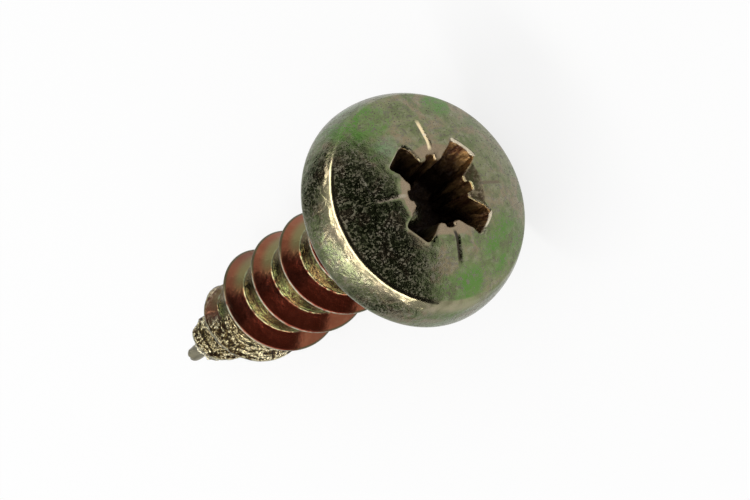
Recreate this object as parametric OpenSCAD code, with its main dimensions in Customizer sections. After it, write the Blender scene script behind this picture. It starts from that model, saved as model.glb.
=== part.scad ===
// Chipboard screw: domed pan head, cross drive recess, coarse single-start thread, gimlet point.
// The screw is turned and rolled from one steel blank, so it is one solid.
// Working frame of the sub-parts: axis on Z, bearing face of the head at z = 0, head up, point down.
// Row frame: the screw lies on the floor on its rim and on one crest, point towards +X.

/* [Head] */
// Diameter of the head at its widest
head_d = 8; // [7:0.1:9]
// Height of the head from the bearing face to the top of the dome
head_h = 2.85; // [2.6:0.05:3.2]
// Radius of the domed top
dome_r = 6.2; // [5.6:0.1:8]
// Radius of the barrelled side, in profile
side_r = 2.9; // [2.5:0.1:5]
// Radius of the rounded lower edge, and the height at which the head is widest
edge_r = 0.3; // [0.2:0.05:0.4]
// Radius of the rounded edge between the dome and the side
crease_r = 0.22; // [0.15:0.01:0.35]

/* [Drive recess] */
// Distance across two opposite wings at the mouth
wing_span = 3.9; // [3.6:0.1:4.4]
// Distance across two opposite wings at the bottom
wing_foot = 2.1; // [1.8:0.1:2.4]
// Width of a wing at the mouth
wing_w = 0.96; // [0.8:0.02:1.1]
// Depth of the recess below the top of the dome
recess_h = 2.4; // [2:0.05:2.45]
// Diameter of the round middle of the recess at the mouth
well_d = 2.24; // [2:0.02:2.4]
// Diameter of the round middle of the recess at the bottom
well_foot = 1.6; // [1.4:0.02:1.8]
// Depth of the small cone in the middle of the bottom
pip_h = 0.2; // [0.1:0.02:0.24]
// Diameter of the dished lip round the middle of the recess
lip_d = 3.24; // [2.9:0.02:3.5]
// Drop of the dished lip from its rim to the round middle
lip_h = 0.17; // [0.1:0.01:0.25]
// Distance across the narrow notches between the wings
notch_span = 2.56; // [2.3:0.02:2.8]
// Width of a narrow notch
notch_w = 0.34; // [0.24:0.02:0.44]
// Turn of the recess about the screw axis, in degrees
recess_turn = 25.2; // [0:0.1:90]

/* [Marks on the dome] */
// Distance from the axis to the inner end of a mark
mark_in = 1.5; // [1.45:0.05:1.8]
// Distance from the axis to the outer end of a mark
mark_out = 2.55; // [2.2:0.05:3]
// Width of a mark
mark_w = 0.14; // [0.1:0.01:0.2]
// Depth of a mark below the dome
mark_h = 0.09; // [0.06:0.01:0.15]

/* [Thread] */
// Outside diameter of the thread
thread_d = 4; // [3.5:0.1:4.5]
// Diameter of the core between the turns
core_d = 2.88; // [2.5:0.02:3]
// Advance of the thread in one turn
pitch = 2.04; // [1.8:0.02:2.3]
// Length of the screw under the head
screw_h = 15.5; // [14:0.1:30]
// Width of the flat on the crest
crest_w = 0.08; // [0.04:0.01:0.14]
// Distance along the axis from the crest to the foot of the flank towards the head
head_flank = 0.54; // [0.4:0.02:0.6]
// Distance along the axis from the crest to the foot of the flank towards the point
point_flank = 0.46; // [0.36:0.02:0.6]
// Steps of the thread in one turn
steps = 48; // [36:4:60]

/* [Neck] */
// Diameter of the plain neck under the head
neck_d = 3.16; // [3.1:0.02:3.3]
// Length of the plain neck
neck_h = 0.55; // [0.3:0.05:0.7]
// Gap between the thread and the flat of the bearing face, seen along the axis
ring_gap = 0.08; // [0.04:0.02:0.2]

/* [Point] */
// Length of the point, from where the crest starts to run down
crest_cone = 5.5; // [5:0.1:7]
// Distance from the end of the screw to where the core starts to run down
core_cone = 5.6; // [4.5:0.1:6]
// Length of the bare nib at the end of the point
nib_h = 1.1; // [0.6:0.1:1.4]
// Radius of the nib
tip_r = 0.34; // [0.2:0.01:0.42]

/* [Lie on the floor] */
// Turn about its own axis in which the screw comes to rest, in degrees
lie_turn = 7; // [-20:1:20]

/* [Hidden] */

$fn = 72;
head_r = head_d / 2;
// Profile centres: dome on the axis, side inside the head
dome_z = head_h - dome_r;
side_x = head_r - side_r;
// Centre of the rounded crease, at crease_r inside both arcs
inner_dome = dome_r - crease_r;
inner_side = side_r - crease_r;
centres = norm([side_x, edge_r - dome_z]);
lean = atan2(edge_r - dome_z, side_x);
split = acos((inner_dome * inner_dome + centres * centres - inner_side * inner_side)
             / (2 * inner_dome * centres));
crease_x = inner_dome * cos(lean - split);
crease_z = dome_z + inner_dome * sin(lean - split);
// Where the rounded crease touches the dome and the side
dome_touch = [dome_r * cos(lean - split), dome_z + dome_r * sin(lean - split)];
side_turn = atan2(crease_z - edge_r, crease_x - side_x);
side_touch = [side_x + side_r * cos(side_turn), edge_r + side_r * sin(side_turn)];

// Slopes of the recess walls, so that the spans hold where the wings meet the dome
mouth_drop = dome_r - sqrt(dome_r * dome_r - wing_span * wing_span / 4);
wall_h = recess_h - mouth_drop;
// How far the punch reaches above the dome
above = 0.3;
function at_top(foot, mouth) = foot + (mouth - foot) * (recess_h + above) / wall_h;
// The dished lip meets the dome at its rim
lip_drop = dome_r - sqrt(dome_r * dome_r - lip_d * lip_d / 4);
lip_slope = (lip_d - well_d) / 2 / lip_h;

// Rows of the thread profile: offset along the axis as a share, height above the core as a share
rows = [[-head_flank, 0], [-head_flank * 0.5, 0.36], [-crest_w / 2, 1],
        [crest_w / 2, 1], [point_flank * 0.48, 0.36], [point_flank, 0]];
last = len(rows) - 1;
start_z = -1.78;
start_turn = 174.7;
turns_total = (screw_h - 0.42 - start_z) / pitch;
ends = floor(turns_total * steps);
core_r = core_d / 2;
// Radius of the hollow corner that keeps the flat ring clear of the thread
neck_r = (thread_d - neck_d) / 2 + ring_gap;
thread_h = thread_d / 2 - core_r;

// Radii at a distance z from the bearing face towards the point
function share(a, b, z) = min(1, max(0, (z - a) / (b - a)));
function core_at(z) = core_r - (core_r - tip_r) * share(screw_h - core_cone, screw_h - nib_h, z);
function crest_at(z) = thread_d / 2
    - (thread_d / 2 - tip_r) * share(screw_h - crest_cone, screw_h - nib_h, z);
function rise_at(z) = share(-0.4, 0.9, z);
function height_at(z) = max(0, crest_at(z) - core_at(z)) * rise_at(z);
function z_of(i) = start_z + pitch * i / steps;
function turn_of(i) = start_turn + 360 * i / steps;
// Flanks keep their slope where the thread is low
function spread_at(z) = 0.35 + 0.65 * min(1, height_at(z) / thread_h);
function row_point(i, j) = let (z = z_of(i), along = z + rows[j][0] * spread_at(z),
    r = core_at(along) + height_at(z) * rows[j][1])
    [r * cos(turn_of(i)), -r * sin(turn_of(i)), -along];

// Lean of the axis at rest, found from the crest that meets the floor first
function lean_to(i) = let (z = z_of(i), r = core_at(z) + height_at(z), down = r * sin(turn_of(i) - lie_turn),
    a = head_r - edge_r - down, b = z + edge_r)
    atan2(a, b) + asin(edge_r / norm([a, b]));
first_full = ceil((0.9 - start_z) / pitch * steps);
rest_lean = min([for (i = [first_full : ends]) lean_to(i)]);
rest_z = (head_r - edge_r) * cos(rest_lean) + edge_r - edge_r * sin(rest_lean);
rest_x = (screw_h * cos(rest_lean) - head_h * cos(rest_lean) - dome_r * (1 - cos(rest_lean))) / 2;

// Half of the head profile, with true arcs for the dome, side, crease and lower edge
module head_profile() {
    difference() {
        union() {
            intersection() {
                translate([0, dome_z])
                    circle(r = dome_r, $fn = 180);
                translate([side_x, edge_r])
                    circle(r = side_r, $fn = 96);
                translate([0, edge_r])
                    square([head_r + 1, head_h]);
                crease_side();
            }
            translate([crease_x, crease_z])
                circle(r = crease_r, $fn = 32);
            translate([0, edge_r])
                square([side_x + 0.01, head_h - edge_r - 0.9]);
            square([head_r - edge_r, edge_r + 0.01]);
            translate([head_r - edge_r, edge_r])
                circle(r = edge_r, $fn = 32);
        }
        translate([-head_d, -head_d])
            square([head_d, 3 * head_d]);
    }
}

// All of the profile plane on the inner side of the chord of the crease
module crease_side() {
    polygon([[-1, -1], [head_r + 1, -1], [head_r + 1, side_touch[1] - 0.4], side_touch, dome_touch,
             [dome_touch[0] - 0.4, head_h + 1], [-1, head_h + 1]]);
}

module head() {
    color([0.6, 0.57, 0.38])
        rotate_extrude()
            head_profile();
}

// One pair of opposite slots, tapered towards the bottom
module slot_pair(foot, mouth, foot_w, mouth_w) {
    translate([0, 0, head_h - recess_h])
        linear_extrude(height = recess_h + above,
                       scale = [at_top(foot, mouth) / foot, at_top(foot_w, mouth_w) / foot_w],
                       slices = 1, segments = 1, $fn = 4)
            square([foot, foot_w], center = true);
}

module recess() {
    color([0.3, 0.26, 0.16])
        rotate([0, 0, recess_turn]) {
            slot_pair(wing_foot, wing_span, wing_w - 0.12, wing_w);
            rotate([0, 0, 90])
                slot_pair(wing_foot, wing_span, wing_w - 0.12, wing_w);
            rotate([0, 0, 45])
                slot_pair(notch_span - 0.6, notch_span, notch_w - 0.06, notch_w);
            rotate([0, 0, 135])
                slot_pair(notch_span - 0.6, notch_span, notch_w - 0.06, notch_w);
            translate([0, 0, head_h - recess_h - pip_h])
                cylinder(h = pip_h + 0.01, r1 = well_foot / 5, r2 = well_foot / 2, $fn = 48);
            translate([0, 0, head_h - recess_h])
                cylinder(h = recess_h + above, r1 = well_foot / 2,
                         r2 = at_top(well_foot, well_d) / 2, $fn = 48);
            translate([0, 0, head_h - lip_drop - lip_h])
                cylinder(h = lip_h + above, r1 = well_d / 2, r2 = lip_d / 2 + lip_slope * above, $fn = 72);
        }
}

// Four shallow grooves that follow the dome, half way between the wings
module marks() {
    color([0.3, 0.26, 0.16])
        rotate([0, 0, recess_turn + 45])
            difference() {
                for (turn = [0 : 90 : 270])
                    rotate([0, 0, turn])
                        translate([mark_in, -mark_w / 2, head_h - 1])
                            cube([mark_out - mark_in, mark_w, 1.2]);
                translate([0, 0, dome_z])
                    sphere(r = dome_r - mark_h, $fn = 180);
            }
}

// Plain neck with a hollow corner to the bearing face, running out inside the core
module neck() {
    color([0.6, 0.57, 0.38])
        rotate_extrude() {
            polygon([[0, 0.2], [neck_d / 2, 0.2], [neck_d / 2, -neck_h],
                     [core_r - 0.14, -neck_h - 0.36], [0, -neck_h - 0.36]]);
            difference() {
                translate([0, -neck_r])
                    square([neck_d / 2 + neck_r, neck_r + 0.1]);
                translate([neck_d / 2 + neck_r, -neck_r])
                    circle(r = neck_r, $fn = 32);
            }
        }
}

// Core, thread and point: one helical strip, closed inside the head and at the point
module shank() {
    count = last + 1;
    points = concat([for (i = [0 : ends]) for (j = [0 : last]) row_point(i, j)],
                    [[0, 0, -start_z + 0.2], [0, 0, -screw_h]]);
    top = (ends + 1) * count;
    tip = top + 1;
    function at(i, j) = i * count + j;
    strip = [for (i = [0 : ends - 1]) for (j = [0 : last - 1]) for (half = [0 : 1])
        half == 0 ? [at(i, j), at(i, j + 1), at(i + 1, j + 1)]
                  : [at(i, j), at(i + 1, j + 1), at(i + 1, j)]];
    core = [for (i = [0 : ends - steps - 1]) for (half = [0 : 1])
        half == 0 ? [at(i, last), at(i + steps, 0), at(i + 1 + steps, 0)]
                  : [at(i, last), at(i + 1 + steps, 0), at(i + 1, last)]];
    top_fan = concat([for (i = [0 : steps - 1]) [top, at(i, 0), at(i + 1, 0)]],
                     [for (j = [0 : last - 1]) [top, at(0, j + 1), at(0, j)]],
                     [[top, at(steps, 0), at(0, last)]]);
    tip_fan = concat([for (i = [ends - steps : ends - 1]) [tip, at(i + 1, last), at(i, last)]],
                     [for (j = [0 : last - 1]) [tip, at(ends, j), at(ends, j + 1)]],
                     [[tip, at(ends - steps, last), at(ends, 0)]]);
    color([0.6, 0.5, 0.3])
        polyhedron(points = points, faces = concat(strip, core, top_fan, tip_fan), convexity = 10);
}

// The whole screw, laid on the floor
module screw() {
    translate([-rest_x, 0, rest_z])
        rotate([0, rest_lean - 90, 0])
            rotate([0, 0, lie_turn - 90])
                difference() {
                    union() {
                        head();
                        neck();
                        shank();
                    }
                    recess();
                    marks();
                }
}

screw();
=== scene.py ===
# Chipboard screw with a domed pan head, a cross drive recess, a coarse thread and a gimlet point.
# It lies on a pale floor on the rim of its head and on one crest, point towards +X.
import math
import bmesh
import bpy
from mathutils import Matrix, Vector, noise


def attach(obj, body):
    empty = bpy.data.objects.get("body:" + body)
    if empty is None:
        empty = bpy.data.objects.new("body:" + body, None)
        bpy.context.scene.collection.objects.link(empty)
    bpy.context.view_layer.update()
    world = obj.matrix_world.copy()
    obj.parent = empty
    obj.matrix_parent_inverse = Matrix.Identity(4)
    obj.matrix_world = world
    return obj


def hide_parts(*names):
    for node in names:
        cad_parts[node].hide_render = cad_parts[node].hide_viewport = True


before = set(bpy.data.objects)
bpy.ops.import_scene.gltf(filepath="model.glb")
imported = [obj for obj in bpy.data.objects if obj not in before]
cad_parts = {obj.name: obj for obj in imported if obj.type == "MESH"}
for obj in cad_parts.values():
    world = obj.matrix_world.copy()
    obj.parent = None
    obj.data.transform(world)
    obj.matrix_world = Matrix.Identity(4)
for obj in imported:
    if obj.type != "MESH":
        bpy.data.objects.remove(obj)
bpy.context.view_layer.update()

# Lie of the screw
# One steel blank, upset for the head and rolled for the thread, so head and shank share one axis.
# The axis runs from the centre of the bearing face, with the head up the slope and the point down.
mm = 0.001
lean = 11.0646
seat = Vector((-6.1498, 0.0, 3.87365)) * mm
tip_over = Matrix.Rotation(math.radians(lean - 90), 4, "Y")
settle = Matrix.Rotation(math.radians(7 - 90), 4, "Z")
lie = Matrix.Translation(seat) @ tip_over @ settle
sideward, upward, headward = (lie.to_3x3().col[k].copy() for k in range(3))


def as_piece(builder, name):
    # Turns a finished bmesh into a smooth object at the origin
    mesh = bpy.data.meshes.new(name)
    builder.to_mesh(mesh)
    builder.free()
    for face in mesh.polygons:
        face.use_smooth = True
    piece = bpy.data.objects.new(name, mesh)
    bpy.context.scene.collection.objects.link(piece)
    return piece


def share(a, b, z):
    return min(1.0, max(0.0, (z - a) / (b - a)))


# Pan head
# Cold-upset from the wire: domed top, rounded crease, barrelled side, rounded lower edge, flat ring below.
# Its profile is spun round the axis, before the recess is punched.
head_r = 4.0
head_h = 2.85
dome_r = 6.2
dome_z = head_h - dome_r
crease_r = 0.22
side_r = 2.9
edge_r = 0.3
side_x = head_r - side_r
ring_r = 2.08
hollow_r = 0.5
# The crease is an arc that touches the dome and the side from within, so its centre is crease_r inside both
inner_dome = dome_r - crease_r
inner_side = side_r - crease_r
apart = math.hypot(side_x, edge_r - dome_z)
split = math.acos((inner_dome ** 2 + apart ** 2 - inner_side ** 2) / (2 * inner_dome * apart))
dome_turn = math.atan2(edge_r - dome_z, side_x) - split
crease_x = inner_dome * math.cos(dome_turn)
crease_z = dome_z + inner_dome * math.sin(dome_turn)
side_turn = math.atan2(crease_z - edge_r, crease_x - side_x)
dome_end = dome_r * math.cos(dome_turn)
side_top = edge_r + side_r * math.sin(side_turn)


def dome_at(r):
    return dome_z + math.sqrt(max(0.0, dome_r * dome_r - r * r))


def arc(x, z, r, first, last, count):
    # Points along one round of the outline, without its first point
    points = []
    for i in range(1, count + 1):
        turn = math.radians(first + (last - first) * i / count)
        points.append((x + r * math.cos(turn), z + r * math.sin(turn)))
    return points


outline = []
for i in range(38):
    r = dome_end * i / 37
    outline.append((r, dome_at(r)))
outline += arc(crease_x, crease_z, crease_r, math.degrees(dome_turn), math.degrees(side_turn), 5)
for i in range(11):
    z = side_top - (side_top - edge_r) * i / 10
    outline.append((side_x + math.sqrt(side_r * side_r - (z - edge_r) ** 2), z))
outline += arc(head_r - edge_r, edge_r, edge_r, 0, -90, 6)
outline += [(2.9, 0.0), (ring_r, 0.0)]
outline += arc(ring_r, -hollow_r, hollow_r, 90, 180, 5)
outline.append((0.0, -hollow_r))

blank = bmesh.new()
chain = [blank.verts.new((r, 0.0, z)) for r, z in outline]
for first, second in zip(chain, chain[1:]):
    blank.edges.new((first, second))
bmesh.ops.spin(blank, geom=blank.verts[:] + blank.edges[:], cent=(0, 0, 0), axis=(0, 0, 1),
               angle=math.tau, steps=160, use_merge=True)
bmesh.ops.remove_doubles(blank, verts=blank.verts, dist=1e-4)
bmesh.ops.recalc_face_normals(blank, faces=blank.faces)
blank_piece = as_piece(blank, "blank")

# Drive recess
# Four wings, a round well and a narrow notch half way between the wings, punched cold into the dome.
# The walls lean in towards the bottom. The punch has dished the lip, and use has rounded it.
wing_turn = 25.2
recess_turn = math.radians(wing_turn)
recess_h = 2.4
wing_span = 3.9
mouth_drop = head_h - dome_at(wing_span / 2)
well_r = 1.12
lip_r = 1.62
lip_h = 0.17
lip_sink = head_h - dome_at(lip_r)
above = 0.3
dish_r = lip_r + above * (lip_r - well_r) / lip_h


def tapered_bar(foot, mouth, foot_w, mouth_w, turn):
    # One punch bar through the axis, from the bottom of the recess to above the dome
    grow = (recess_h + above) / (recess_h - mouth_drop)
    bar = bmesh.new()
    bmesh.ops.create_cube(bar, size=1.0)
    for v in bar.verts:
        top = v.co.z > 0
        v.co.x *= foot + (mouth - foot) * grow if top else foot
        v.co.y *= foot_w + (mouth_w - foot_w) * grow if top else foot_w
        v.co.z = head_h + above if top else head_h - recess_h
    bmesh.ops.rotate(bar, verts=bar.verts, cent=(0, 0, 0), matrix=Matrix.Rotation(recess_turn + turn, 3, "Z"))
    return as_piece(bar, "punch_bar")


def round_punch(low_r, high_r, low, high):
    # One round part of the punch, on the axis
    cone = bmesh.new()
    bmesh.ops.create_cone(cone, cap_ends=True, segments=64, radius1=low_r, radius2=high_r, depth=high - low)
    bmesh.ops.translate(cone, verts=cone.verts, vec=(0, 0, (low + high) / 2))
    return as_piece(cone, "punch_round")


punches = [tapered_bar(2.1, wing_span, 0.84, 0.96, 0.0),
           tapered_bar(2.1, wing_span, 0.84, 0.96, math.pi / 2),
           tapered_bar(1.96, 2.56, 0.28, 0.34, math.pi / 4),
           tapered_bar(1.96, 2.56, 0.28, 0.34, -math.pi / 4),
           round_punch(0.8, 1.214, head_h - recess_h, head_h + above),
           round_punch(well_r, dish_r, head_h - lip_sink - lip_h, head_h - lip_sink + above),
           round_punch(0.3, 0.81, head_h - recess_h - 0.2, head_h - recess_h + 0.01)]
for punch in punches:
    strike = blank_piece.modifiers.new("strike", "BOOLEAN")
    strike.object = punch
    strike.operation = "DIFFERENCE"
    strike.solver = "EXACT"
skin = blank_piece.modifiers.new("skin", "REMESH")
skin.mode = "VOXEL"
skin.voxel_size = 0.0475
bpy.context.view_layer.update()
struck = bpy.data.meshes.new_from_object(blank_piece.evaluated_get(bpy.context.evaluated_depsgraph_get()))
for punch in punches:
    bpy.data.objects.remove(punch)
bpy.data.objects.remove(blank_piece)

head = bmesh.new()
head.from_mesh(struck)


def soften(verts, passes):
    for i in range(passes):
        bmesh.ops.smooth_vert(head, verts=verts, factor=0.5,
                              use_axis_x=True, use_axis_y=True, use_axis_z=True)


soften(head.verts, 2)
lip = []
worn_r = 2.25
worn_depth = 0.22
for v in head.verts:
    r = math.hypot(v.co.x, v.co.y)
    if r < worn_r and v.co.z > dome_at(r) - worn_depth:
        lip.append(v)
soften(lip, 7)
# Smoothing draws the surface in a little, so the sound part of the dome goes back to its true profile
drawn_in = 0.012
for v in head.verts:
    r = math.hypot(v.co.x, v.co.y)
    if 2.1 < r < 3.55 and abs(v.co.z - dome_at(r)) < drawn_in:
        v.co.z = dome_at(r)
# Four stamped strokes half way between the wings, the third of them faint
stroke_r = 0.1
stroke_start = 1.4
stroke_end = 2.65
for v in head.verts:
    for k, sink in enumerate((0.04, 0.04, 0.015, 0.04)):
        turn = recess_turn + math.radians(45 + 90 * k)
        run = v.co.x * math.cos(turn) + v.co.y * math.sin(turn)
        off = v.co.y * math.cos(turn) - v.co.x * math.sin(turn)
        if v.co.z > side_top and stroke_start < run < stroke_end and abs(off) < stroke_r:
            ends = share(stroke_start, 1.6, run) * (1 - share(2.3, stroke_end, run))
            v.co.z -= sink * (1 - (off / stroke_r) ** 2) * ends
bmesh.ops.transform(head, matrix=lie @ Matrix.Scale(mm, 4), verts=head.verts)
head_piece = as_piece(head, "pan_head")

# Finish of the head
# Zinc plate under a yellow passivation: olive grey with green clouds, and dull specks where the salts sit.
# The recess is stained brown, and four stamped strokes stand half way between the wings.


class Signal:
    # A value in a material's node tree, so that shader maths reads as Python
    def __init__(self, tree, socket=None):
        self.tree = tree
        self.socket = socket

    def node(self, kind, settings, sockets, result=0):
        made = self.tree.nodes.new(kind)
        for name, value in settings.items():
            setattr(made, name, value)
        for name, value in sockets.items():
            if isinstance(value, Signal):
                self.tree.links.new(value.socket, made.inputs[name])
            else:
                made.inputs[name].default_value = value
        return Signal(self.tree, made.outputs[result])

    def math(self, operation, *values):
        return self.node("ShaderNodeMath", {"operation": operation}, dict(enumerate(values)))

    def __add__(self, other):
        return self.math("ADD", self, other)

    def __radd__(self, other):
        return self.math("ADD", other, self)

    def __sub__(self, other):
        return self.math("SUBTRACT", self, other)

    def __rsub__(self, other):
        return self.math("SUBTRACT", other, self)

    def __mul__(self, other):
        return self.math("MULTIPLY", self, other)

    def __rmul__(self, other):
        return self.math("MULTIPLY", other, self)

    def __truediv__(self, other):
        return self.math("DIVIDE", self, other)

    def root(self):
        return self.math("SQRT", self)

    def size(self):
        return self.math("ABSOLUTE", self)

    def along(self, direction):
        return self.node("ShaderNodeVectorMath", {"operation": "DOT_PRODUCT"}, {0: self, 1: direction}, 1)

    def step(self, low, high):
        eased = {"interpolation_type": "SMOOTHSTEP"}
        return self.node("ShaderNodeMapRange", eased, {0: self, 1: low, 2: high})

    def tint(self, low, high):
        # Goes from the colour low to the colour high as this value goes from 0 to 1
        return self.node("ShaderNodeMix", {"data_type": "RGBA"}, {0: self, 6: low, 7: high}, 2)

    def grain(self, scale, detail=3.0, rough=0.55, distortion=0.0):
        return self.node("ShaderNodeTexNoise", {}, {"Vector": self, "Scale": scale, "Detail": detail,
                                                    "Roughness": rough, "Distortion": distortion})


def steel(name, roughness, metallic):
    # An all-metal shader and the place on the screw, in millimetres from the centre of the bearing face
    material = bpy.data.materials.new(name)
    material.use_nodes = True
    tree = material.node_tree
    shader = tree.nodes["Principled BSDF"]
    shader.inputs["Roughness"].default_value = roughness
    shader.inputs["Metallic"].default_value = metallic
    place = Signal(tree).node("ShaderNodeTexCoord", {}, {}, 3)
    place = place.node("ShaderNodeVectorMath", {"operation": "SUBTRACT"}, {0: place, 1: seat})
    place = place.node("ShaderNodeVectorMath", {"operation": "SCALE"}, {0: place, 3: 1000.0})
    return material, shader, place


def colour(red, green, blue):
    return (red, green, blue, 1.0)


def facing(across, up, turn):
    # How far a place lies from the axis in the direction turn, in degrees round the axis
    return across * math.cos(math.radians(turn)) + up * math.sin(math.radians(turn))


def stroke(across, up, start, turn, length, width):
    # Mask of one straight stroke, from its start in the direction turn, with faded ends
    run = facing(across - start[0], up - start[1], turn)
    off = facing(across - start[0], up - start[1], turn + 90).size()
    ends = run.step(0.0, 0.15) * (1.0 - run.step(length - 0.3, length))
    return (1.0 - off.step(width * 0.35, width)) * ends


head_steel, shader, place = steel("zinc_head", 0.2, 1.0)
tree = head_steel.node_tree
across = place.along(sideward)
up = place.along(upward)
high = place.along(headward)
radius = (across * across + up * up).root()
clouds = place.grain(0.55, 2.0, 0.5, 0.6)
mottle = place.grain(1.5, 3.0, 0.6, 0.5)
fine = place.grain(4.0, 4.0, 0.6)
base = clouds.step(0.4, 0.62).tint(colour(0.216, 0.223, 0.119), colour(0.172, 0.209, 0.094))
base = (mottle.step(0.5, 0.62) * 0.9).tint(base, colour(0.265, 0.212, 0.135))
base = ((1.0 - mottle.step(0.36, 0.46)) * 0.75).tint(base, colour(0.132, 0.165, 0.07))
base = (fine.step(0.52, 0.62) * 0.5).tint(base, colour(0.3, 0.285, 0.2))
base = ((1.0 - fine.step(0.38, 0.46)) * 0.5).tint(base, colour(0.13, 0.14, 0.075))
# Green clouds, at their places round the dome: across, up, size
green = None
for a, b, size in ((3.27, 0.54, 0.9), (3.18, 1.29, 0.7), (2.21, 0.99, 0.4), (-2.47, -1.62, 1.0),
                   (-2.66, -0.8, 0.9), (-3.07, 0.85, 0.8), (-3.07, 1.48, 0.7), (2.58, -2.08, 0.3)):
    away = (across - a) * (across - a) + (up - b) * (up - b)
    spot = 1.0 - (away + clouds * 1.6 - 0.8).step(0.0, size)
    green = spot if green is None else green.math("MAXIMUM", green, spot)
base = (green * mottle.step(0.3, 0.6) * 0.85).tint(base, colour(0.09, 0.225, 0.04))
# One thin pale spot beside the recess
away = (across - 2.2) * (across - 2.2) + (up - 0.8) * (up - 0.8)
base = ((1.0 - (away + mottle * 0.4 - 0.2).step(0.02, 0.2)) * 0.55).tint(base, colour(0.27, 0.33, 0.22))
# Dull flecks of salt, sparse and in drifts
flecks = place.grain(14.0, 2.0, 0.55, 0.5).step(0.54, 0.63)
flecks = flecks * (0.2 + 0.8 * place.grain(1.7, 2.0, 0.5).step(0.42, 0.58))
large_flecks = place.grain(7.0, 2.0, 0.6, 1.0).step(0.58, 0.64) * 0.8
flecks = flecks.math("MAXIMUM", flecks, large_flecks)
fleck_tone = mottle.step(0.35, 0.6).tint(colour(0.12, 0.1, 0.065), colour(0.21, 0.19, 0.14))
base = (flecks * 0.9).tint(base, fleck_tone)
# Painted shade round the side, under the crease: its colour is darkened there
side = 1.0 - high.step(1.35, 1.6)
base = (side * 0.32).tint(base, colour(0.02, 0.022, 0.008))
# Painted highlight: one side of the crease and the band below it are painted paler and warmer, where the
# lamp's highlight falls
highlight_side = (facing(across, up, 106) / radius).step(0.2, 0.6)
crease_highlight = high.step(1.1, 1.5) * (1.0 - high.step(1.7, 1.76)) * radius.step(3.4, 3.5) * highlight_side
highlight_tone = mottle.step(0.3, 0.6).tint(colour(0.2, 0.18, 0.11), colour(0.36, 0.31, 0.21))
base = (crease_highlight * 0.75).tint(base, highlight_tone)
flecks = flecks * (1.0 - crease_highlight)
# The stain of the recess, with painted shade deeper towards its bottom, and the bare dished lip
dome_level = (dome_r * dome_r - radius * radius).root() + dome_z
dish_slope = lip_h / (lip_r - well_r)
dish = radius * dish_slope + (head_h - lip_sink - dish_slope * lip_r)
depth = dome_level - high
below = dome_level.math("MINIMUM", dome_level, dish) - high
inside = below.step(0.03, 0.12) * (1.0 - radius.step(1.98, 2.06)) * high.step(0.25, 0.35)
flat = place.node("ShaderNodeVectorMath", {"operation": "PROJECT"}, {0: place, 1: headward})
flat = flat.node("ShaderNodeVectorMath", {"operation": "SCALE"}, {0: flat, 3: 0.85})
drawn = place.node("ShaderNodeVectorMath", {"operation": "SUBTRACT"}, {0: place, 1: flat})
streaks = drawn.grain(4.0, 4.0, 0.65)
wall = streaks.step(0.4, 0.62).tint(colour(0.1, 0.038, 0.015), colour(0.36, 0.21, 0.08))
# Painted light and shade: the walls on one side are left lighter, and the rest are painted dark
lit_walls = facing(across, up, 285).step(0.0, 0.9)
wall = ((1.0 - lit_walls) * 0.7).tint(wall, colour(0.03, 0.018, 0.008))
# Painted shade: the walls grow almost black towards the bottom
wall = (below.step(0.1, 1.5) * 0.93).tint(wall, colour(0.012, 0.006, 0.003))
base = inside.tint(base, wall)
lip_mask = depth.step(0.015, 0.05) * (1.0 - below.step(0.03, 0.1)) * (1.0 - radius.step(1.6, 1.75))
far_side = facing(across, up, 250).step(0.3, 1.0)
stained_lip = streaks.step(0.4, 0.6).tint(colour(0.1, 0.06, 0.03), colour(0.3, 0.24, 0.14))
lip_colour = far_side.tint(colour(0.33, 0.24, 0.15), stained_lip)
base = (lip_mask * mottle.step(0.2, 0.5) * 0.85).tint(base, lip_colour)
# Each stroke has its own tone, going round the head: pale, dark, faint, and near white as a painted highlight
for k, width, tone in ((0, 0.08, colour(0.42, 0.36, 0.26)), (1, 0.08, colour(0.04, 0.032, 0.02)),
                       (2, 0.08, colour(0.17, 0.14, 0.09)), (3, 0.095, colour(1.0, 0.82, 0.5))):
    turn = wing_turn + 45 + 90 * k
    start = (1.35 * math.cos(math.radians(turn)), 1.35 * math.sin(math.radians(turn)))
    mark = stroke(across, up, start, turn, 1.25, width) * high.step(1.6, 1.8)
    base = mark.tint(base, tone)
# Handling scratches
for a, b, turn, length in ((1.75, 2.15, 165, 0.8), (-0.6, 2.75, 200, 0.5), (-1.1, 2.1, 60, 0.35),
                           (0.2, 2.9, 120, 0.3)):
    base = (stroke(across, up, (a, b), turn, length, 0.035) * 0.8).tint(base, colour(0.4, 0.37, 0.28))
# Painted glints: the ends of the wings are painted near white, the first and third only in part and the
# second not at all
wing_glint = radius.step(1.9, 1.93) * (1.0 - radius.step(1.97, 2.0)) * depth.step(0.015, 0.04)
wing_glint = wing_glint * (1.0 - depth.step(0.14, 0.2))
wing_glint = wing_glint * (1.0 - facing(across, up, wing_turn).step(1.4, 1.8) * 0.75)
wing_glint = wing_glint * (1.0 - facing(across, up, wing_turn + 90).step(0.6, 1.0))
half = facing(across, up, wing_turn + 180).step(1.4, 1.8)
half = half * (1.0 - facing(across, up, wing_turn + 270).step(-0.2, 0.0))
wing_glint = wing_glint * (1.0 - half * 0.85)
base = wing_glint.tint(base, colour(1.0, 0.88, 0.66))
tree.links.new(base.socket, shader.inputs["Base Color"])
metal = (1.0 - flecks * 0.75) * (1.0 - inside * 0.2) * (1.0 - wing_glint * 0.9) * (1.0 - lip_mask * 0.5)
tree.links.new(metal.socket, shader.inputs["Metallic"])
dull = 0.15 + fine * (1.0 - crease_highlight * 0.7) * 0.14 + flecks * 0.25 + inside * 0.12
tree.links.new(dull.socket, shader.inputs["Roughness"])
relief = place.grain(7.0, 4.0, 0.65, 0.8) * (1.0 - crease_highlight * 0.8) * 0.010
relief = relief + place.grain(1.3, 2.0, 0.5) * 0.03 + inside * streaks * 0.06
relief = relief + side * place.grain(2.6, 3.0, 0.6, 0.8) * 0.03
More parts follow.
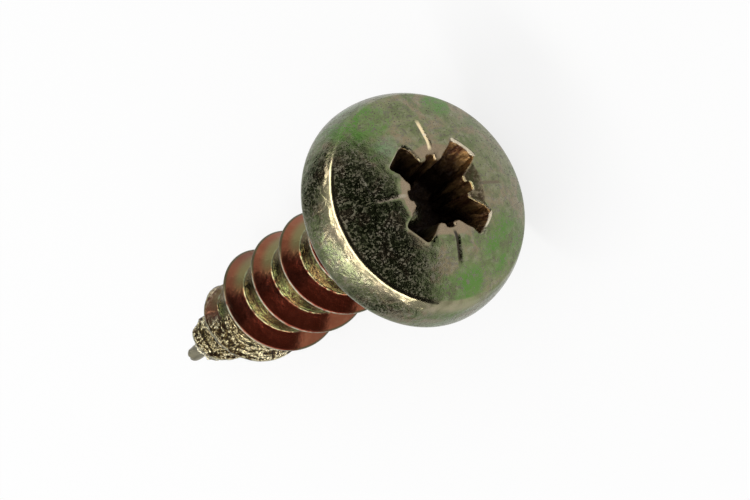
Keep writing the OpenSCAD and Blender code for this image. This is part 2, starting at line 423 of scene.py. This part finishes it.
bump = relief.node("ShaderNodeBump", {}, {"Strength": 1.0, "Distance": mm, "Height": relief})
tree.links.new(bump.socket, shader.inputs["Normal"])
head_piece.data.materials.append(head_steel)
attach(head_piece, "root")
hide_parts("screw")

# Threaded shank
# Core, rolled thread and gimlet point. One pitch of the thread's profile is spun down the axis,
# and core and crest then run down to the blunt nib together.
pitch = 2.04
thread_r = 2.0
core_r = 1.44
head_flank = 0.54
point_flank = 0.46
screw_h = 15.5
crest_cone = 5.5
core_cone = 5.6
nib_h = 1.1
tip_r = 0.34
steps = 96
start_z = -1.78 - pitch
start_turn = math.radians(-174.7)


def core_at(z):
    r = core_r - (core_r - tip_r) * share(screw_h - core_cone, screw_h - nib_h, z)
    # A torn collar stands where the dies pinched off the waste, and the nib swells towards its end
    r += 0.2 * share(12.7, 13.2, z) * (1.0 - share(13.95, 14.25, z)) - 0.07 * share(14.1, 14.4, z)
    return r * math.sqrt(max(0.0, 1.0 - share(screw_h - 0.35, screw_h, z) ** 2))


def height_at(z):
    # The crest runs down with the core, and breaks off where the nib begins
    crest = thread_r - (thread_r - tip_r) * share(screw_h - crest_cone, screw_h - nib_h, z)
    broken = 0.2 * share(12.4, 13.0, z) * (1.0 - share(13.25, 13.45, z))
    crest = crest + broken - (crest - core_at(z)) * share(13.3, 13.5, z)
    return max(0.0, crest - core_at(min(z, screw_h - nib_h))) * share(-0.4, 0.9, z)


def spread_at(z):
    # How wide the thread's foot is, as a share of its full width
    return 0.35 + 0.65 * min(1.0, height_at(z) / (thread_r - core_r))


shank = bmesh.new()
zone = shank.verts.layers.float.new("zone")
climb = shank.verts.layers.float.new("climb")
reach = shank.verts.layers.float.new("reach")
knock = shank.verts.layers.float.new("knock")
# Offset from the crest along the axis, and share of the thread's height
rows = [(-head_flank, 0.0), (-0.51, 0.03), (-0.46, 0.13), (-0.38, 0.28), (-0.3, 0.43), (-0.2, 0.63),
        (-0.1, 0.83), (-0.045, 0.95), (-0.02, 0.99), (0.0, 1.0), (0.02, 0.99), (0.045, 0.95), (0.1, 0.82),
        (0.18, 0.6), (0.27, 0.4), (0.35, 0.24), (0.42, 0.08), (point_flank, 0.0), (0.65, 0.0), (0.85, 0.0),
        (1.05, 0.0), (1.28, 0.0), (pitch - head_flank, 0.0)]
profile = []
for offset, rise in rows:
    v = shank.verts.new((core_r, 0.0, -offset))
    v[zone] = offset
    v[climb] = rise
    profile.append(v)
for first, second in zip(profile, profile[1:]):
    shank.edges.new((first, second))
count = math.ceil((screw_h + 0.6 - start_z) / pitch * steps)
bmesh.ops.spin(shank, geom=shank.verts[:] + shank.edges[:], cent=(0, 0, 0), axis=(0, 0, 1),
               dvec=(0, 0, -pitch / steps), angle=-math.tau * count / steps, steps=count, use_merge=False)
for v in shank.verts:
    z = start_z - (v.co.z + v[zone])
    place_z = z + v[zone] * spread_at(z)
    if v[zone] > point_flank:
        # The bare core runs from this turn's foot to the foot of the next turn
        gap = (v[zone] - point_flank) / (pitch - head_flank - point_flank)
        foot = z + point_flank * spread_at(z)
        next_foot = z + pitch - head_flank * spread_at(z + pitch)
        place_z = foot * (1 - gap) + next_foot * gap
    place_z = min(screw_h, place_z)
    v[reach] = place_z
    r = core_at(place_z) + height_at(z) * v[climb]
    if place_z < -0.2:
        r = core_r * (1.0 - share(0.2, 1.0, -place_z))
        place_z = -0.2
    turned = Vector((v.co.x, v.co.y, 0.0)).normalized()
    # The rolling dies leave the point rough, and its core torn
    rough = share(10.2, 11.4, place_z) * (1.0 - share(14.1, 14.3, place_z)) * (1.0 - 0.7 * v[climb])
    spot = Vector((turned.x, turned.y, place_z))
    r = max(0.0, r + 0.09 * rough * (noise.noise(spot * 3.1) + noise.noise(spot * 7.3)))
    v.co = (turned.x * r, turned.y * r, -place_z)
    v[knock] = 0.16 * share(10.2, 11.0, place_z) * (1.0 - share(13.2, 14.0, place_z))
bmesh.ops.rotate(shank, verts=shank.verts, cent=(0, 0, 0), matrix=Matrix.Rotation(start_turn, 3, "Z"))
# The last turn was knocked a little out of line
knock_turn = math.radians(50)
for v in shank.verts:
    v.co += Vector((math.cos(knock_turn), math.sin(knock_turn), 0.0)) * v[knock]
bmesh.ops.remove_doubles(shank, verts=shank.verts, dist=2e-4)
bmesh.ops.transform(shank, matrix=lie @ Matrix.Scale(mm, 4), verts=shank.verts)
bmesh.ops.recalc_face_normals(shank, faces=shank.faces)
shank_piece = as_piece(shank, "threaded_shank")

# Finish of the shank
# The passivation runs red-brown on the flanks, with painted shade on one side, gold and green on the core,
# and pale on the crest, partly worn and partly a painted highlight.
# The torn metal round the point is speckled with painted glints, and the nib at its end is bare and grey.
shank_steel, shader, place = steel("zinc_thread", 0.2, 1.0)
tree = shank_steel.node_tree
zone_at = Signal(tree).node("ShaderNodeAttribute", {"attribute_name": "zone"}, {}, 2)
climb_at = Signal(tree).node("ShaderNodeAttribute", {"attribute_name": "climb"}, {}, 2)
reach_at = Signal(tree).node("ShaderNodeAttribute", {"attribute_name": "reach"}, {}, 2)
soft = place.grain(0.9, 3.0, 0.6, 0.4)
fine = place.grain(5.0, 4.0, 0.6)
across = place.along(sideward)
up = place.along(upward)
radius = (across * across + up * up).root()
flank_colour = soft.step(0.35, 0.65).tint(colour(0.2, 0.06, 0.026), colour(0.26, 0.085, 0.04))
flank_colour = (fine.step(0.5, 0.75) * 0.6).tint(flank_colour, colour(0.27, 0.12, 0.065))
# Painted shade: the flanks are darker on one side of the screw
dark_flank_side = (facing(across, up, 107) / radius).step(0.5, 0.8)
flank_colour = (dark_flank_side * 0.8).tint(flank_colour, colour(0.165, 0.02, 0.009))
# Darker on every flank in a narrow band round the axis, broken up by noise
dark_band = (facing(across, up, 74) / radius).step(0.91, 0.985) * soft.step(0.3, 0.55)
flank_colour = (dark_band * 0.75).tint(flank_colour, colour(0.06, 0.012, 0.006))
# Olive where the film is thin: on the upper shoulder of each flank, towards its foot
shoulder = (facing(across, up, 14) / radius).step(0.66, 0.95)
olive = shoulder * (1.0 - climb_at.step(0.25, 0.7))
flank_colour = (olive * 0.85).tint(flank_colour, colour(0.19, 0.185, 0.075))
# The dies leave ridges that run round with the thread
rolled = {"X": zone_at * 7.0, "Y": climb_at * 4.0, "Z": reach_at * 5.0}
ridges = zone_at.node("ShaderNodeCombineXYZ", {}, rolled).grain(1.0, 4.0, 0.65, 0.6)
sparkle = place.grain(8.0, 3.0, 0.65, 0.5) * 0.5 + ridges * 0.5
core_colour = soft.step(0.4, 0.6).tint(colour(0.29, 0.205, 0.08), colour(0.26, 0.3, 0.11))
core_colour = (sparkle.step(0.46, 0.56) * 0.9).tint(core_colour, colour(0.06, 0.03, 0.01))
# Painted shade: the core is darker on the shoulder side
core_colour = (shoulder * 0.7).tint(core_colour, colour(0.16, 0.1, 0.04))
flank_colour = (reach_at.step(8.6, 10.0) * 0.65).tint(flank_colour, colour(0.09, 0.045, 0.026))
# The flank begins where the thread rises from the core
flank_mask = climb_at.step(0.0, 0.04)
base = flank_mask.tint(core_colour, flank_colour)
# Painted highlight: a thin pale green line along the foot of each flank
foot_highlight = climb_at.step(0.0, 0.01) * (1.0 - climb_at.step(0.05, 0.11))
base = (foot_highlight * fine.step(0.35, 0.6) * 0.7).tint(base, colour(0.33, 0.37, 0.2))
crest_mask = climb_at.step(0.955, 0.99)
# Painted shade on the outer rounding of the flanks, on the other side of the screw
base = (climb_at.step(0.86, 0.93) * (1.0 - dark_flank_side)).tint(base, colour(0.09, 0.075, 0.035))
# The metal is torn from the last turn on, and on one side only from nearer the point
smooth = (facing(across, up, 24) / radius).step(0.6, 0.86) * (1.0 - reach_at.step(11.0, 11.6))
point_mask = reach_at.step(8.8, 10.2) * (1.0 - smooth)
# The torn metal is speckled dark and gold, and its near white specks are painted glints
point_colour = sparkle.step(0.455, 0.49).tint(colour(0.018, 0.01, 0.005), colour(0.24, 0.18, 0.075))
point_colour = sparkle.step(0.5, 0.545).tint(point_colour, colour(0.9, 0.84, 0.58))
base = (point_mask * 0.92 * (1.0 - crest_mask)).tint(base, point_colour)
# The crest is paler, partly as worn bare metal and partly as a painted highlight, but not on the shoulder
# side
crest_wear_and_highlight = point_mask.tint(colour(0.25, 0.26, 0.2), colour(0.5, 0.52, 0.42))
base = (crest_mask * (1.0 - shoulder * 0.85) * fine.step(0.3, 0.55)).tint(base, crest_wear_and_highlight)
nib_mask = reach_at.step(14.05, 14.25)
base = nib_mask.tint(base, colour(0.22, 0.205, 0.14))
tree.links.new(base.socket, shader.inputs["Base Color"])
tree.links.new((1.0 - flank_mask * (1.0 - point_mask) * 0.2).socket, shader.inputs["Metallic"])
gloss = 0.12 + fine * 0.12 + nib_mask * 0.25 + climb_at.step(0.88, 0.96) * 0.15
tree.links.new(gloss.socket, shader.inputs["Roughness"])
rugged = (1.0 - flank_mask) * 0.05 + point_mask * (1.0 - nib_mask) * 0.42
relief = fine * 0.01 + sparkle * rugged + soft * 0.012
bump = relief.node("ShaderNodeBump", {}, {"Strength": 1.0, "Distance": mm, "Height": relief})
tree.links.new(bump.socket, shader.inputs["Normal"])
shank_piece.data.materials.append(shank_steel)
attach(shank_piece, "root")
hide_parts("screw")

# Floor
# A plain matt white sheet, with dark felt screens far off that only the polished metal sees.
floor_builder = bmesh.new()
bmesh.ops.create_grid(floor_builder, x_segments=1, y_segments=1, size=3.0)
floor = as_piece(floor_builder, "floor")


def plain(name, settings):
    # A material of constant settings
    material = bpy.data.materials.new(name)
    material.use_nodes = True
    for socket, value in settings.items():
        material.node_tree.nodes["Principled BSDF"].inputs[socket].default_value = value
    return material


paper = plain("paper", {"Base Color": colour(0.95, 0.95, 0.95), "Roughness": 1.0, "Specular IOR Level": 0.0})
# Camera and glossy rays see the sheet mostly as an even white glow, so that the shadow on it stays light
sheet = Signal(paper.node_tree)
rays = sheet.node("ShaderNodeLightPath", {}, {})
glossy = Signal(paper.node_tree, rays.socket.node.outputs["Is Glossy Ray"])
glow = sheet.node("ShaderNodeEmission", {}, {"Color": colour(1.0, 1.0, 1.0), "Strength": 1.0})
matt = Signal(paper.node_tree, paper.node_tree.nodes["Principled BSDF"].outputs[0])
mixed = sheet.node("ShaderNodeMixShader", {}, {0: (rays + glossy) * 0.8, 1: matt, 2: glow})
paper.node_tree.links.new(mixed.socket, paper.node_tree.nodes["Material Output"].inputs["Surface"])
floor.data.materials.append(paper)

felt = plain("felt", {"Base Color": colour(0.012, 0.012, 0.012), "Roughness": 1.0, "Specular IOR Level": 0.0})
# A gauze of the same cloth, which softens the edge of a screen
gauze = felt.copy()
gauze.name = "gauze"
weave = Signal(gauze.node_tree)
dark = Signal(gauze.node_tree, gauze.node_tree.nodes["Principled BSDF"].outputs[0])
clear = weave.node("ShaderNodeBsdfTransparent", {}, {})
thin = weave.node("ShaderNodeMixShader", {}, {0: 0.5, 1: clear, 2: dark})
gauze.node_tree.links.new(thin.socket, gauze.node_tree.nodes["Material Output"].inputs["Surface"])


def only_reflected(piece):
    # The polished metal sees the piece, and nothing else does
    piece.visible_camera = False
    piece.visible_diffuse = False
    piece.visible_shadow = False


def screen(name, first, last, low, high, cloth=felt):
    # A curved dark screen between two compass angles and between two heights above the horizon
    shade = bmesh.new()
    posts = []
    for i in range(9):
        angle = math.radians(low + (high - low) * i / 8)
        posts.append(shade.verts.new((0.6 * math.cos(angle), 0.0, 0.6 * math.sin(angle))))
    for one, other in zip(posts, posts[1:]):
        shade.edges.new((one, other))
    start = Matrix.Rotation(math.radians(first), 3, "Z")
    bmesh.ops.rotate(shade, verts=shade.verts, cent=(0, 0, 0), matrix=start)
    bmesh.ops.spin(shade, geom=shade.verts[:] + shade.edges[:], cent=(0, 0, 0), axis=(0, 0, 1),
                   angle=math.radians(last - first), steps=48, use_merge=False)
    piece = as_piece(shade, name)
    piece.data.materials.append(cloth)
    only_reflected(piece)


screen("felt_front", 123.0, 238.0, 1.0, 68.0)
screen("felt_left", 236.0, 248.0, 18.0, 68.0)
screen("felt_right", 101.0, 124.0, 1.0, 68.0)
screen("gauze_right", 95.0, 101.0, 1.0, 68.0, gauze)
screen("felt_back", -80.0, -28.0, 1.0, 38.0)
screen("felt_point", 24.0, 66.0, 3.0, 24.0)

# Lamps
# A soft box over the point of the screw and a light tunnel across it, with an even sky round them.
front_box = bpy.data.objects.new("front_box", bpy.data.lights.new("front_box", "AREA"))
bpy.context.scene.collection.objects.link(front_box)
front_box.data.shape = "RECTANGLE"
front_box.data.size = 0.42
front_box.data.size_y = 0.09
front_box.data.energy = 1.0
box_compass = math.radians(22)
box_height = math.radians(57)
toward = Vector((math.cos(box_height), 0.0, math.sin(box_height)))
toward.rotate(Matrix.Rotation(box_compass, 3, "Z"))
front_box.location = toward * 0.5
front_box.rotation_euler = toward.to_track_quat("Z", "Y").to_euler()
# A narrow light tunnel stands across the screw, and only its reflection matters
tunnel = bmesh.new()
rim = []
for degrees in range(-13, 6, 3):
    angle = math.radians(degrees)
    rim.append(tunnel.verts.new((0.55 * math.sin(angle), 0.55 * math.cos(angle), 0.0)))
for one, other in zip(rim, rim[1:]):
    tunnel.edges.new((one, other))
first_height = Matrix.Rotation(math.radians(18), 3, "X")
bmesh.ops.rotate(tunnel, verts=tunnel.verts, cent=(0, 0, 0), matrix=first_height)
bmesh.ops.spin(tunnel, geom=tunnel.verts[:] + tunnel.edges[:], cent=(0, 0, 0), axis=(1, 0, 0),
               angle=math.radians(138), steps=48, use_merge=False)
light_tunnel = as_piece(tunnel, "light_tunnel")
lit_cloth = plain("lit_cloth", {"Base Color": colour(0.8, 0.8, 0.8), "Emission Strength": 6.0,
                                "Emission Color": colour(1.0, 0.95, 0.86)})
light_tunnel.data.materials.append(lit_cloth)
only_reflected(light_tunnel)
world = bpy.data.worlds.new("sky")
bpy.context.scene.world = world
world.use_nodes = True
world.node_tree.nodes["Background"].inputs["Color"].default_value = colour(1.0, 1.0, 1.0)
world.node_tree.nodes["Background"].inputs["Strength"].default_value = 0.68
bpy.context.scene.view_settings.view_transform = "Standard"

# Camera
# 35 degrees off the axis on the head's side, turned so that the point is at the lower left.
# It stands 200 mm away and shows 30.22 pixels to the millimetre at the centre of the bearing face.
off_axis = math.radians(35)
picture_turn = math.radians(146.6)
along_axis = Vector((math.sin(off_axis) * math.cos(picture_turn), math.sin(off_axis) * math.sin(picture_turn),
                     math.cos(off_axis)))
first_side = Vector((-math.sin(picture_turn), math.cos(picture_turn), 0))
second_side = along_axis.cross(first_side)
to_world = Matrix((sideward, -upward, -headward)).transposed()
to_camera = Matrix((first_side, second_side, along_axis)).transposed()
turned = to_world @ to_camera.transposed()
right, down, forward = (turned.col[k].copy() for k in range(3))
distance = 200.0
scale = 30.22
# Size of the picture, and where the centre of the bearing face stands in it, in pixels
picture_w = 750
picture_h = 500
seat_across = 404.2
seat_down = 214.8
aside = right * (seat_across - picture_w / 2) / scale + down * (seat_down - picture_h / 2) / scale
spot = seat - mm * (aside + forward * distance)
camera = bpy.data.objects.new("camera", bpy.data.cameras.new("camera"))
bpy.context.scene.collection.objects.link(camera)
camera.matrix_world = Matrix.Translation(spot) @ Matrix((right, -down, -forward)).transposed().to_4x4()
sensor_w = 36
camera.data.sensor_width = sensor_w
camera.data.lens = scale * distance * sensor_w / picture_w
camera.data.clip_start = 0.01
camera.data.clip_end = 10
bpy.context.scene.camera = camera
